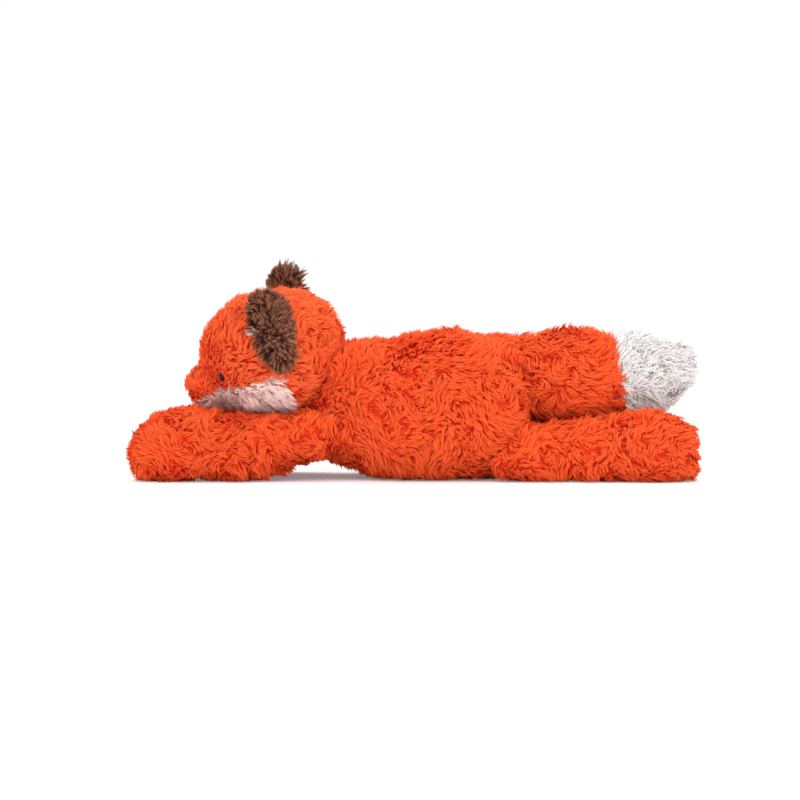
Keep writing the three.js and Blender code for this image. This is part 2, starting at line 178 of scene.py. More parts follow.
def curve_through(points, x):
    """Smooth curve through given (x, value) points, flat past its ends; a number is constant"""
    if isinstance(points, (int, float)):
        return np.full_like(x, points, dtype=float)
    xs, ys = np.array(points, float).T
    slopes = np.gradient(ys, xs)
    x = np.clip(x, xs[0], xs[-1])
    i = np.clip(np.searchsorted(xs, x, side="right") - 1, 0, len(xs) - 2)
    span = xs[i + 1] - xs[i]
    t = (x - xs[i]) / span
    start = ys[i] * (1 + 2 * t) + slopes[i] * span * t
    end = ys[i + 1] * (3 - 2 * t) - slopes[i + 1] * span * (1 - t)
    return start * (1 - t) ** 2 + end * t ** 2


class Form:
    """A stuffed form, grown or shrunk in metres, moved aside along Y and placed by a matrix"""

    def __init__(self, shape, grow=0.0, aside=0.0, place=None):
        low, high = shape["ends"]
        self.shape = shape
        self.centre, self.half = (low + high) / 2, (high - low) / 2
        self.above, self.below = shape["square"]
        self.grow = grow / MM
        self.aside = aside
        self.place = place or Matrix()

    def section(self, along):
        """Middle height, half width and half height at a share of the half length, in millimetres"""
        x = self.centre + self.half * along
        middle, wide, tall = (curve_through(self.shape[key], x) for key in ("middle", "wide", "tall"))
        blunt = self.shape["blunt"]
        around = (1 - np.abs(along) ** blunt) ** (1 / blunt)
        return middle, (wide + self.grow) * around, (tall + self.grow) * around

    def wrap(self, ball):
        """Points of a unit ball moved onto the form, in metres"""
        along = np.clip(ball[:, 0], -1, 1)
        middle, wide, tall = self.section(along)
        radius = np.maximum(np.hypot(ball[:, 1], ball[:, 2]), 1e-9)
        cosine, sine = ball[:, 1] / radius, ball[:, 2] / radius
        square = np.where(sine < 0, self.below, self.above)
        x = self.centre + (self.half + self.grow) * along
        y = wide * np.sign(cosine) * np.abs(cosine) ** (2 / square)
        z = tall * np.sign(sine) * np.abs(sine) ** (2 / square)
        return placed(np.column_stack((x, y + self.aside, middle + z)) * MM, self.place)

    def holds(self, points):
        """True for each point that lies inside the form"""
        local = placed(points, self.place.inverted()) / MM
        along = (local[:, 0] - self.centre) / (self.half + self.grow)
        inside = np.abs(along) < 1
        middle, wide, tall = self.section(np.where(inside, along, 0))
        aside = np.abs(local[:, 1] - self.aside) / wide
        rise = (local[:, 2] - middle) / tall
        square = np.where(rise < 0, self.below, self.above)
        return inside & (aside ** square + np.abs(rise) ** square < 1)


def placed(points, matrix):
    m = np.array(matrix)
    return points @ m[:3, :3].T + m[:3, 3]


def unit(vectors):
    return vectors / np.maximum(np.linalg.norm(vectors, axis=-1, keepdims=True), 1e-9)


def waves(points, size, seed, count=7):
    """Slope of a smooth rolling field about as coarse as size, from a few waves in all directions"""
    rng = np.random.default_rng(seed)
    slope = np.zeros_like(points)
    for _ in range(count):
        heading = unit(rng.normal(size=3))
        turns = points @ heading * 2 * math.pi / (size * rng.uniform(0.7, 1.6))
        slope += np.sin(turns + rng.uniform(0, 2 * math.pi))[:, None] * heading
    return slope * math.sqrt(3 / count)


# Meshes

# Voxels and smoothing steps that run several forms together into one
JOIN_VOXEL = 2.2 * MM
JOIN_STEPS = 8


def link(name, data):
    piece = bpy.data.objects.new(name, data)
    bpy.context.scene.collection.objects.link(piece)
    return piece


def shaped_ball(bm, form, subdivisions):
    """Adds a ball to the bmesh and wraps it onto a form"""
    ball = bmesh.ops.create_icosphere(bm, subdivisions=subdivisions, radius=1)["verts"]
    points = form.wrap(np.array([vertex.co for vertex in ball]))
    for vertex, point in zip(ball, points):
        vertex.co = point


def finish_mesh(bm, name):
    mesh = bpy.data.meshes.new(name)
    bm.to_mesh(mesh)
    bm.free()
    mesh.shade_smooth()
    return mesh


def applied(piece):
    """Replaces a piece's mesh by what its modifiers make of it"""
    made = bpy.data.meshes.new_from_object(piece.evaluated_get(bpy.context.evaluated_depsgraph_get()))
    piece.modifiers.clear()
    piece.data = made
    made.name = piece.name
    made.shade_smooth()
    return piece


def lumpy(bm, height=1.4 * MM, size=38 * MM, seed=5):
    """The uneven swell of loose fibre under the cloth, never sinking into it"""
    bm.normal_update()
    points = np.array([vertex.co for vertex in bm.verts])
    swell = np.maximum(waves(points, size, seed)[:, 0], 0) * height
    for vertex, amount in zip(bm.verts, swell):
        vertex.co += vertex.normal * float(amount)


def stuffed(name, forms, subdivisions=5, floor=FLOOR_CLEAR):
    """The outside of the backing cloth of one form, or of several run together"""
    bm = bmesh.new()
    for form in forms:
        shaped_ball(bm, form, subdivisions)
    lumpy(bm)
    piece = link(name, finish_mesh(bm, name))
    if len(forms) > 1:
        remesh = piece.modifiers.new("join", "REMESH")
        remesh.mode = "VOXEL"
        remesh.voxel_size = JOIN_VOXEL
        piece.modifiers.new("soften", "SMOOTH").iterations = JOIN_STEPS
        applied(piece)
    for vertex in piece.data.vertices:
        vertex.co.z = max(vertex.co.z, floor)
    return piece


def dress(piece, material, body, replaces=()):
    piece.data.materials.clear()
    piece.data.materials.append(material)
    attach(piece, body)
    if replaces:
        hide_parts(*replaces)


def cut_cloth(source, name, chosen=None):
    """Cuts the chosen faces of a stuffed form out as a cloth piece of their own, or takes the whole"""
    bm = bmesh.new()
    bm.from_mesh(source.data)
    if chosen is not None:
        centres = np.array([face.calc_center_median() for face in bm.faces])
        unwanted = [face for face, wanted in zip(bm.faces, chosen(centres)) if not wanted]
        bmesh.ops.delete(bm, geom=unwanted, context="FACES")
    piece = link(name, finish_mesh(bm, name))
    if chosen is not None:
        thick = piece.modifiers.new("thickness", "SOLIDIFY")
        thick.thickness = BACKING_THICK
        thick.offset = -1
        applied(piece)
    return piece


# Fur

class Pile:
    """How one kind of pile grows: its strands' sizes in metres, and how many a square millimetre has

    nap, swirl and wild weigh the cloth's own lie, its swirls and chance in the way that a strand leans.
    soft is how far a strand is shaded as the cloth under it, because light soaks through fine pile.
    """

    def __init__(self, length, width, height, density, swirl=1.0, wild=0.45, nap=0.6, soft=0.5):
        self.length = length
        self.width = width
        self.height = height
        self.density = density
        self.swirl = swirl
        self.wild = wild
        self.nap = nap
        self.soft = soft


# Strands to a lock and to a tuft of locks, how far a lock's points are drawn together from root to tip, and
# how much of that a tuft's are
LOCK = 5
TUFT = 28
DRAWN = (0.0, 0.2, 0.62)
TUFT_DRAWN = 0.22

# How much a tuft, a lock in it and a strand in that stray from the lie, and vary in how high they stand
STRAY = (1.0, 0.6, 0.25)
STAND = (0.22, 0.16, 0.12)
STAND_LIMITS = (0.45, 1.7)

# Swirls of the lie over the skin: weight, size and seed. A strand stands up more where lie, swirls and
# chance come to less than the least lean
SWIRLS = ((1.0, 36 * MM, 11), (0.75, 17 * MM, 12))
LEAST_LEAN = 0.15

# A strand's length and thickness vary between these shares, and it is thinner where it is trimmed, by this
# power. Its tone varies by a weight, a size and a seed for patches of the cloth, and from strand to strand
LENGTHS = (0.85, 1.1)
THICKNESSES = (0.7, 1.3)
THINNING = 0.3
TONE_PATCHES = (0.12, 30 * MM, 21)
TONE_SPREAD = 0.18

# A strand runs in two stretches: how far each goes as a share of its reach, and the height where it ends
STRETCHES = ((0.42, 0.66), (0.55, 1.0))
LEAST_REACH = 0.35
UPRIGHT = 0.4
ROOT_SINK = 0.5 * MM

# Widths at a strand's root and bend, and how far its edges lie under and its ridge over its middle line
WIDTHS = (0.8, 1.0)
EDGE = 0.25
RIDGE = 0.7

# Ring of each corner of a strand, and its faces, three of which look back at the cloth
RING_OF = (0, 0, 0, 1, 1, 1, 1)
STRAND_FACES = (
    (0, 1, 4, 3), (1, 2, 5, 4), (2, 0, 3, 5), (3, 4, 6), (4, 5, 6), (5, 3, 6), (2, 1, 0))
UNDERSIDES = (0, 3, 6)

SHAVED = 0.12


def three_each(items, key, kind=float):
    """One row of three values for each item"""
    values = np.empty(len(items) * 3, dtype=kind)
    items.foreach_get(key, values)
    return values.reshape(-1, 3)


class Skin:
    """Triangles of a piece's mesh as arrays, for scattering roots and laying strands along it"""

    def __init__(self, piece):
        mesh = piece.data
        mesh.calc_loop_triangles()
        self.corners = three_each(mesh.loop_triangles, "vertices", np.int64)
        self.points = three_each(mesh.vertices, "co")
        self.normals = three_each(mesh.vertices, "normal")
        self.tree = BVHTree.FromPolygons(self.points.tolist(), self.corners.tolist())

    def scatter(self, density, rng):
        """Root points and normals, evenly thrown over the whole skin"""
        a, b, c = (self.points[self.corners[:, i]] for i in range(3))
        areas = np.linalg.norm(np.cross(b - a, c - a), axis=1) / 2
        count = int(areas.sum() / MM ** 2 * density)
        picked = rng.choice(len(areas), size=count, p=areas / areas.sum())
        s, t = rng.random((2, count))
        over = s + t > 1
        s, t = np.where(over, 1 - s, s)[:, None], np.where(over, 1 - t, t)[:, None]
        share = (1 - s - t, s, t)
        roots = sum(k * self.points[self.corners[picked, i]] for i, k in enumerate(share))
        normals = sum(k * self.normals[self.corners[picked, i]] for i, k in enumerate(share))
        return roots, unit(normals)

    def nearest(self, points):
        """Closest points on the skin, and the surface normals there"""
        found = [self.tree.find_nearest(point) for point in points.tolist()]
        return np.array([hit[0] for hit in found]), np.array([hit[1] for hit in found])


def along_surface(vectors, normals):
    """Directions along the skin, shorter where the vectors nearly cancel out"""
    flat = vectors - (vectors * normals).sum(axis=1, keepdims=True) * normals
    return flat / np.maximum(np.linalg.norm(flat, axis=1, keepdims=True), LEAST_LEAN)


def leaders(roots, size):
    """For each root, the number of the nearest of every size-th root"""
    tree = KDTree(len(roots[::size]))
    for i, root in enumerate(roots[::size].tolist()):
        tree.insert(root, i * size)
    tree.balance()
    return np.array([tree.find(root)[1] for root in roots.tolist()])


def strand_paths(skin, roots, normals, lie, pile, trim, rng):
    """Root, bend and tip of each strand: it stands up from the cloth, leans over and joins its lock"""
    count = len(roots)
    lock, tuft = leaders(roots, LOCK), leaders(roots, TUFT)
    chance = rng.normal(size=(3, count, 3))
    chances = (chance[0][tuft], chance[1][lock], chance[2])
    wild = sum(share * own for share, own in zip(STRAY, chances))
    nap = lie(roots) if callable(lie) else np.broadcast_to(lie, roots.shape)

    def heading(points):
        slopes = sum(weight * waves(points, size, seed) for weight, size, seed in SWIRLS)
        leaning = pile.nap * unit(nap) + pile.swirl * np.cross(normals, slopes) + pile.wild * wild
        return along_surface(leaning, normals)

    stand = sum((share * own[:, 0] for share, own in zip(STAND, chances)), start=1)
    height = pile.height * np.clip(stand, *STAND_LIMITS) * trim
    length = pile.length * rng.uniform(*LENGTHS, count) * trim
    reach = np.sqrt(np.maximum(length ** 2 - height ** 2, (LEAST_REACH * length) ** 2))[:, None]

    paths = np.empty((count, 3, 3))
    paths[:, 0] = roots - normals * ROOT_SINK
    point = roots
    for k, (share, rise) in enumerate(STRETCHES, start=1):
        point = point + heading(point) * reach * share
        ground, slope = skin.nearest(point)
        paths[:, k] = ground + unit(slope + UPRIGHT * normals) * (height * rise)[:, None]
    drawn = np.array(DRAWN)[None, :, None]
    paths = paths + (paths[lock] - paths) * drawn
    return paths + (paths[tuft] - paths) * drawn * TUFT_DRAWN


def strand_mesh(name, paths, normals, width, shade, softness):
    """Closed three-sided tapering strands; U holds a strand's shade and V runs from root to tip"""
    count, rings = len(paths), len(WIDTHS)
    ahead = unit(paths[:, 1:] - paths[:, :-1])
    across = np.cross(paths[:, -1] - paths[:, 0], normals + 0.02)[:, None, :]
    beside = unit(across - (across * ahead).sum(axis=-1, keepdims=True) * ahead)
    upward = np.cross(beside, ahead)
    half = width[:, None, None] * np.array(WIDTHS)[None, :, None] / 2
    middles = paths[:, :rings]
    ring = np.stack((
        middles + beside * half - upward * half * EDGE,
        middles - beside * half - upward * half * EDGE,
        middles + upward * half * RIDGE,
    ), axis=2)
    points = np.concatenate((ring.reshape(count, rings * 3, 3), paths[:, -1:]), axis=1)
    points[:, :, 2] = np.maximum(points[:, :, 2], FLOOR_CLEAR)

    corner = np.concatenate(STRAND_FACES)
    sizes = np.array([len(face) for face in STRAND_FACES])
    firsts = np.arange(count)[:, None]
    mesh = bpy.data.meshes.new(name)
    mesh.vertices.add(points[:, :, 0].size)
    mesh.vertices.foreach_set("co", points.ravel())
    mesh.loops.add(count * len(corner))
    mesh.loops.foreach_set("vertex_index", (corner + firsts * points.shape[1]).ravel())
    mesh.polygons.add(count * len(sizes))
    starts = np.cumsum(sizes) - sizes
    mesh.polygons.foreach_set("loop_start", (starts + firsts * len(corner)).ravel())

    # U differs a little round a strand, and V runs up it
    around = np.array((-0.012, 0.012, 0.0, -0.012, 0.012, 0.0, 0.0))
    along = np.array((0.02, 0.02, 0.05, 0.5, 0.5, 0.5, 0.98))
    uv = np.empty((count, len(corner), 2))
    uv[:, :, 0] = np.clip(shade, 0.02, 0.98)[:, None] + around[corner]
    uv[:, :, 1] = along[corner]
    mesh.uv_layers.new(name=UV_NAME).data.foreach_set("uv", uv.ravel())
    mesh.update()
    mesh.shade_smooth()

    own = unit(points - middles[:, RING_OF])
    own[:, -1] = upward[:, -1]
    cloth = normals[:, None, :] * softness
    above = unit(own * (1 - softness) + cloth)
    below = unit(cloth - upward[:, RING_OF])
    shading = [(below if i in UNDERSIDES else above)[:, face] for i, face in enumerate(STRAND_FACES)]
    mesh.normals_split_custom_set(np.concatenate(shading, axis=1).reshape(-1, 3))
    return mesh


def grow_fur(names, skin, body, shade, pile, lie, seed, keep, split=None, shorter=None, look=None):
    """Fur for one skin, in one named piece or shared out among several"""
    rng = np.random.default_rng(seed)
    roots, normals = skin.scatter(pile.density * (1), rng)
    trim = np.ones(len(roots)) if shorter is None else shorter(roots)
    grown = (trim > SHAVED) & keep(roots)
    roots, normals, trim = roots[grown], normals[grown], trim[grown]
    paths = strand_paths(skin, roots, normals, lie, pile, trim, rng)
    weight, size, patch_seed = TONE_PATCHES
    patches = weight * waves(roots, size, patch_seed)[:, 1]
    tone = 0.5 + patches + rng.normal(0, TONE_SPREAD, len(roots))
    width = pile.width * rng.uniform(*THICKNESSES, len(roots)) * trim ** THINNING
    share = np.zeros(len(roots), dtype=int) if split is None else split(roots)
    for i, name in enumerate(names):
        mine = share == i
        mesh = strand_mesh(name, paths[mine], normals[mine], width[mine], tone[mine], pile.soft)
        dress(link(name, mesh), shared_looks()[f"{look or shade}_pile"], body)


def cover(name, source, body, shade, node, chosen=None, look=None):
    """One cloth piece of a cover, in place of its node of the frame"""
    piece = cut_cloth(source, f"{name}_pelt", chosen)
    dress(piece, shared_looks()[f"{look or shade}_backing"], body, [node])


# Materials

class Value:
    """A shader socket that works in Python expressions"""

    def __init__(self, tree, socket):
        self.tree = tree
        self.socket = socket

    def math(self, operation, first, second=0.0):
        return self.tree.node("ShaderNodeMath", {"operation": operation}, {0: first, 1: second})

    def __add__(self, other):
        return self.math("ADD", self, other)

    def __radd__(self, other):
        return self.math("ADD", other, self)

    def __sub__(self, other):
        return self.math("SUBTRACT", self, other)

    def __rsub__(self, other):
        return self.math("SUBTRACT", other, self)

    def __mul__(self, other):
        return self.math("MULTIPLY", self, other)

    def __rmul__(self, other):
        return self.math("MULTIPLY", other, self)


class NodeTree:
    """The nodes of a material or a world"""

    def __init__(self, tree):
        self.nodes = tree.nodes
        self.links = tree.links

    def node(self, kind, settings=None, inputs=None, output=0):
        """Adds a node, sets it, fills or links its sockets and returns one output"""
        made = self.nodes.new(kind)
        for key, value in (settings or {}).items():
            if key == "stops":
                self.fill_ramp(made.color_ramp, value)
            else:
                setattr(made, key, value)
        for key, value in (inputs or {}).items():
            self.put(made.inputs[key], value)
        return Value(self, made.outputs[output])

    @staticmethod
    def fill_ramp(ramp, stops):
        while len(ramp.elements) < len(stops):
            ramp.elements.new(1.0)
        for element, (position, colour) in zip(ramp.elements, stops):
            element.position = position
            element.color = (*colour, 1.0)

    def put(self, socket, value):
        if isinstance(value, Value):
            self.links.new(value.socket, socket)
        else:
            socket.default_value = value


class Look(NodeTree):
    """A material: its constants, and what is fed into its shader"""

    def __init__(self, name, **constants):
        self.material = bpy.data.materials.new(name)
        self.material.use_nodes = True
        super().__init__(self.material.node_tree)
        self.shader = self.nodes["Principled BSDF"]
        self.feed(**constants)

    def feed(self, **values):
        for socket, value in values.items():
            self.put(self.shader.inputs[socket.replace("_", " ")], value)
        return self.material

    def mix(self, factor, first, second, blend="MIX"):
        """Colour mix; sockets 6 and 7 are a Mix node's two colours"""
        settings = {"data_type": "RGBA", "blend_type": blend}
        return self.node("ShaderNodeMix", settings, {0: factor, 6: first, 7: second}, output=2)

    def noise(self, scale, detail=3.0):
        place = self.node("ShaderNodeTexCoord", output="Object")
        inputs = {"Vector": place, "Scale": scale, "Detail": detail}
        return self.node("ShaderNodeTexNoise", None, inputs)

    def bump(self, height, distance, strength=0.6):
        inputs = {"Height": height, "Distance": distance, "Strength": strength}
        return self.node("ShaderNodeBump", None, inputs)


def colour(red, green, blue):
    return (red, green, blue, 1.0)


def fur_look(name, root, middle, tip, spread):
    """Pile that lightens from root to tip, with each strand a little darker or lighter"""
    look = Look(name, Roughness=0.9, Specular_IOR_Level=0.05)
    place = look.node("ShaderNodeUVMap", {"uv_map": UV_NAME})
    across, along = (look.node("ShaderNodeSeparateXYZ", None, {0: place}, output=axis) for axis in "XY")
    # The roots' darker, redder colour is partly painted shade of the recesses deep in the pile, and partly
    # the strands' own colour
    lengthwise = ((0.0, root), (0.45, middle), (1.0, tip))
    shades = ((0.0, (1 - spread,) * 3), (1.0, (1, 1, 1)))
    base = look.node("ShaderNodeValToRGB", {"stops": lengthwise}, {"Fac": along})
    shade = look.node("ShaderNodeValToRGB", {"stops": shades}, {"Fac": across})
    return look.feed(Base_Color=look.mix(1.0, base, shade, "MULTIPLY"))


def cloth_look(name, roughness, deep, base, patches, grain, depth):
    """Cloth or loose fibre in patches of two colours, with a bumpy grain

    patches and grain are each the scale and the detail of a noise, and depth is the grain's.
    """
    look = Look(name, Roughness=roughness)
    return look.feed(
        Base_Color=look.mix(look.noise(*patches), colour(*deep), colour(*base)),
        Normal=look.bump(look.noise(*grain), depth),
    )


def backing_look(name, base, deep):
    """Knitted backing cloth seen between the strands"""
    return cloth_look(name, 0.95, deep, base, (140.0, 3.0), (1800.0, 1.0), 0.0006)


def fibre_look():
    return cloth_look(
        "fibre_fill", 1.0, (0.80, 0.79, 0.76), (0.93, 0.93, 0.91), (60.0, 6.0), (900.0, 5.0), 0.0015)


def pouch_look():
    return cloth_look(
        "cotton_cloth", 0.9, (0.62, 0.58, 0.49), (0.74, 0.71, 0.62), (90.0, 3.0), (2400.0, 1.0), 0.0004)


def thread_look():
    twist = (2600.0, 1.0)
    return cloth_look("orange_thread", 0.8, (0.55, 0.08, 0.02), (0.78, 0.17, 0.04), twist, twist, 0.0003)


def pellet_look():
    look = Look("pellet_plastic", Roughness=0.45)
    place = look.node("ShaderNodeTexCoord", output="Object")
    grains = look.node("ShaderNodeTexVoronoi", None, {"Vector": place, "Scale": 330.0})
    return look.feed(
        Base_Color=look.mix(grains, colour(0.78, 0.80, 0.82), colour(0.55, 0.57, 0.6)),
        Normal=look.bump(1.0 - grains, 0.0012, 1.0),
    )


def washer_look():
    look = Look("washer_plastic", Roughness=0.5)
    haze = look.noise(500.0)
    return look.feed(Base_Color=look.mix(haze, colour(0.76, 0.76, 0.72), colour(0.86, 0.86, 0.83)))


def button_look():
    """Black moulded plastic, polished, with faint handling haze"""
    look = Look("button_plastic", Specular_IOR_Level=0.2)
    haze = look.noise(700.0)
    return look.feed(
        Base_Color=look.mix(haze, colour(0.006, 0.006, 0.007), colour(0.014, 0.013, 0.013)),
        Roughness=haze * 0.12 + 0.1,
    )


# Settings that a user would change

class FurSettings(bpy.types.PropertyGroup):
    length: bpy.props.FloatProperty(
        name="Pile length", description="Length of a body strand", default=0.0095, unit="LENGTH")
    width: bpy.props.FloatProperty(
        name="Strand width", description="Width of a strand at its thickest",
        default=0.00068, unit="LENGTH")
    height: bpy.props.FloatProperty(
        name="Pile height", description="How high the pile stands over its backing",
        default=0.0052, unit="LENGTH")
    density: bpy.props.FloatProperty(
        name="Density", description="Strands on each square millimetre", default=1.3)
    orange: bpy.props.FloatVectorProperty(
        name="Orange", description="Middle of an orange strand",
        subtype="COLOR", default=(0.90, 0.084, 0.020))
    white: bpy.props.FloatVectorProperty(
        name="White", description="Middle of a white strand",
        subtype="COLOR", default=(0.76, 0.72, 0.70))
    brown: bpy.props.FloatVectorProperty(
        name="Brown", description="Middle of a brown strand",
        subtype="COLOR", default=(0.19, 0.068, 0.040))


class StageSettings(bpy.types.PropertyGroup):
    elevation: bpy.props.FloatProperty(
        name="Elevation", description="Camera height over the horizon", subtype="ANGLE",
        default=math.radians(2.5))
    lens: bpy.props.FloatProperty(name="Lens", description="Focal length in millimetres", default=115.0)
    view_width: bpy.props.FloatProperty(
        name="View width", description="Width of the picture at the toy", default=0.4995, unit="LENGTH")


def fur_piles():
    """The kinds of pile on the toy, from the settings"""
    s = bpy.context.scene.fox_fur
    return {
        "body": Pile(s.length, s.width, s.height, s.density, nap=0.75),
        "leg": Pile(s.length * 0.92, s.width, s.height * 0.95, s.density),
        "head": Pile(
            s.length * 0.95, s.width * 0.95, s.height * 0.95, s.density * 1.15,
            swirl=0.5, wild=0.35, nap=0.9, soft=0.65),
        "tail": Pile(s.length * 1.1, s.width, s.height * 1.05, s.density, swirl=0.8),
        "tip": Pile(
            s.length * 1.15, s.width * 0.9, s.height * 1.3, s.density * 1.3,
            swirl=0.5, nap=0.8, soft=0.7),
        "cheek": Pile(
            s.length, s.width * 0.8, s.height * 0.95, s.density * 1.4, swirl=0.3, wild=0.35, nap=1.0),
        "ear": Pile(s.length * 0.7, s.width * 0.75, s.height * 1.1, s.density * 2.2, swirl=0.2, nap=1.0),
    }


def shared_looks():
    """The pile and backing materials, made once"""
    if "orange_pile" not in bpy.data.materials:
        s = bpy.context.scene.fox_fur
        # Each root colour, deeper than its middle, is partly painted shade of the pile's depths
        fur_look("orange_pile", (0.92, 0.055, 0.013), tuple(s.orange), (0.93, 0.155, 0.044), 0.14)
        fur_look("white_pile", (0.80, 0.70, 0.68), tuple(s.white), (0.82, 0.80, 0.79), 0.06)
        # head_pile is a lighter, more orange copy of the orange pile: painted light, standing in for the
        # stronger light that falls on the head
        fur_look("head_pile", (0.95, 0.070, 0.018), (0.94, 0.106, 0.028), (0.97, 0.19, 0.060), 0.14)
        # cheek_pile's pink, strongest at the roots, is painted light: the orange glow bounced from the fur
        # round the white cheeks
        fur_look("cheek_pile", (0.97, 0.52, 0.46), (0.97, 0.70, 0.64), (0.97, 0.84, 0.81), 0.08)
        fur_look("brown_pile", (0.045, 0.014, 0.010), tuple(s.brown), (0.70, 0.29, 0.17), 0.75)
        backing_look("orange_backing", (0.75, 0.038, 0.010), (0.62, 0.028, 0.007))
        backing_look("white_backing", (0.6, 0.54, 0.5), (0.45, 0.38, 0.35))
        backing_look("brown_backing", (0.05, 0.018, 0.012), (0.02, 0.008, 0.006))
    return bpy.data.materials


def leg_form(kind, side, grow=0.0):
    shape, aside, _ = LEGS[kind]
    return Form(shape, grow, aside=side * aside)


def head_forms(grow=0.0):
    return [Form(SKULL, grow), Form(SNOUT, grow)]


def clear_of(forms):
    """Test for points that lie outside all these forms"""
    return lambda points: ~np.logical_or.reduce([form.holds(points) for form in forms])


def all_but(chosen):
    """Test for the points that another test leaves out"""
    return lambda points: ~chosen(points)


def both(first, second):
    """Test for the points that two tests choose"""
    return lambda points: first(points) & second(points)


def creased(roots, forms):
    """Shortens pile that is squeezed beside these forms, so the seam between two pieces shows"""
    return np.where(clear_of(forms)(roots), 1.0, SQUEEZED)


def discard(piece):
    bpy.data.meshes.remove(piece.data)


class FOX_OT_body(bpy.types.Operator):
    """The body's cover: backing cloth over the stuffing, and its pile"""
    bl_idname = "fox.body"
    bl_label = "Body"

    def execute(self, context):
        whole = stuffed("body_whole", [Form(BODY, -BACKING_SINK)])
        cover("body", whole, "body", "orange", "body_skin")

        def panel(roots):
            back = (roots[:, 2] > BACK_ABOVE) & (np.abs(roots[:, 1]) < BACK_WITHIN)
            under = roots[:, 2] < BELLY_BELOW
            return np.where(back, 2, np.where(under, 3, roots[:, 1] >= 0))

        def neighbours(grow):
            limbs = [leg_form(kind, side, grow) for kind in LEGS for _, side in SIDES]
            return [Form(TAIL, grow), *head_forms(grow), *limbs]

        grow_fur(
            ["body_fur_left", "body_fur_right", "body_fur_back", "body_fur_belly"],
            Skin(whole), "body", "orange", fur_piles()["body"], BODY_LIE, seed=101,
            keep=clear_of(neighbours(BURIED)), split=panel,
            shorter=lambda roots: creased(roots, neighbours(BESIDE)))
        discard(whole)
        return {"FINISHED"}


def in_cheek(points):
    """True for each point inside the cheek's outline, seen from the side"""
    x, z = points[:, 0] / MM, points[:, 2] / MM
    inside = np.zeros(len(points), dtype=bool)
    for (x0, z0), (x1, z1) in zip(CHEEK, CHEEK[1:] + CHEEK[:1]):
        crosses = (z0 > z) != (z1 > z)
        with np.errstate(divide="ignore", invalid="ignore"):
            at = x0 + (z - z0) * (x1 - x0) / (z1 - z0)
        inside ^= crosses & (x < at)
    return inside


# Points that the pile of the head and of the cheeks fans out from, in millimetres, and its rise over the
# brow
HEAD_FAN = (-149, 0, 52)
CHEEK_FAN = (-120, 0, 47)
BROW_RISE = 0.25

# Where the head's pile grows shorter along the snout, over how much, and to what share of its length. Then
# the muzzle in front of that, the share at an eye's edge, and how far back the nose's bare place goes
SNOUT_FROM = -112 * MM
SNOUT_FADE = 22 * MM
SNOUT_SHARE = 0.66
MUZZLE_FROM = -138 * MM
MUZZLE_SHARE = 0.58
EYE_SHARE = 0.2
NOSE_FROM = -132 * MM


def cheek_on(side):
    """Test for the points of one cheek"""
    return lambda points: in_cheek(points) & (points[:, 1] * side >= 0)


def head_nap(points):
    """Pile lies away from the nose, rising over the brow"""
    away = unit(points - np.array(HEAD_FAN) * MM)
    away[:, 2] += BROW_RISE
    return away


def cheek_nap(points):
    """Pile fans out from low on the cheek: back and up over most of it, forward at its front end"""
    return (points - np.array(CHEEK_FAN) * MM) * (1, 0, 1)


def head_trim(points):
    """Short right round the eyes and the nose, a little short on the snout"""
    trim = np.clip((points[:, 0] - SNOUT_FROM) / SNOUT_FADE + 1, SNOUT_SHARE, 1)
    trim[points[:, 0] < MUZZLE_FROM] = MUZZLE_SHARE
    for name, side in SIDES:
        distance = np.linalg.norm(points - np.array(eye_place(name, side)[0]), axis=1)
        trim = np.minimum(trim, np.clip((distance - EYE_CLEAR) / EYE_FADE + EYE_SHARE, 0, 1))
    wide, _, high = NOSE_SIZE
    beside = (points - np.array(nose_place()[0]))[:, 1:] / (wide, high)
    on_nose = (points[:, 0] < NOSE_FROM) & (np.linalg.norm(beside, axis=1) < NOSE_CLEAR)
    return np.where(on_nose, 0, trim)


class FOX_OT_head(bpy.types.Operator):
    """The head's cover with its white cheeks"""
    bl_idname = "fox.head"
    bl_label = "Head"

    def execute(self, context):
        piles = fur_piles()
        whole = stuffed("head_whole", head_forms(-BACKING_SINK), floor=CHIN)
        skin = Skin(whole)
        outside = clear_of([Form(BODY, BURIED - NECK_REACH)])
        orange = all_but(in_cheek)

        cover("head", whole, "head", "orange", "head_skin", orange)
        # The head's pile takes head_pile, whose extra brightness is painted light of the more brightly lit
        # head
        grow_fur(
            ["head_fur_left", "head_fur_right"], skin, "head", "orange", piles["head"], head_nap, seed=201,
            keep=both(orange, outside), split=lambda roots: (roots[:, 1] > 0).astype(int),
            shorter=head_trim, look="head")
        for name, side in SIDES:
            chosen = cheek_on(side)
            cover(f"{name}_cheek", whole, "head", "white", f"{name}_cheek", chosen)
            # The cheeks' pile takes cheek_pile, whose pink is painted bounce light from the orange fur
            # round them
            grow_fur(
                [f"{name}_cheek_fur"], skin, "head", "white", piles["cheek"], cheek_nap, seed=203 + side,
                keep=both(chosen, outside), shorter=head_trim, look="cheek")
        discard(whole)
        return {"FINISHED"}


# Where the legs' pile is short, in millimetres along X, aside and in height: pressed under the chin and
# beside the shoulder, parted behind the toes, and shorter toward the ends of the hind feet
CHIN_ALONG = (-122, -60)
CHIN_WITHIN = 42
CHIN_ABOVE = 30
SHOULDER_ALONG = (-78, -40)
SHOULDER_BELOW = 17
PRESSED_SHARE = 0.8
TOES_ALONG = (-134, -126)
TOES_BELOW = 11
TOES_SHARE = 0.65
HIND_END = 179
HIND_FADE = 14
HIND_SHARE = 0.55


def between(values, limits):
    low, high = limits
    return (values > low) & (values < high)


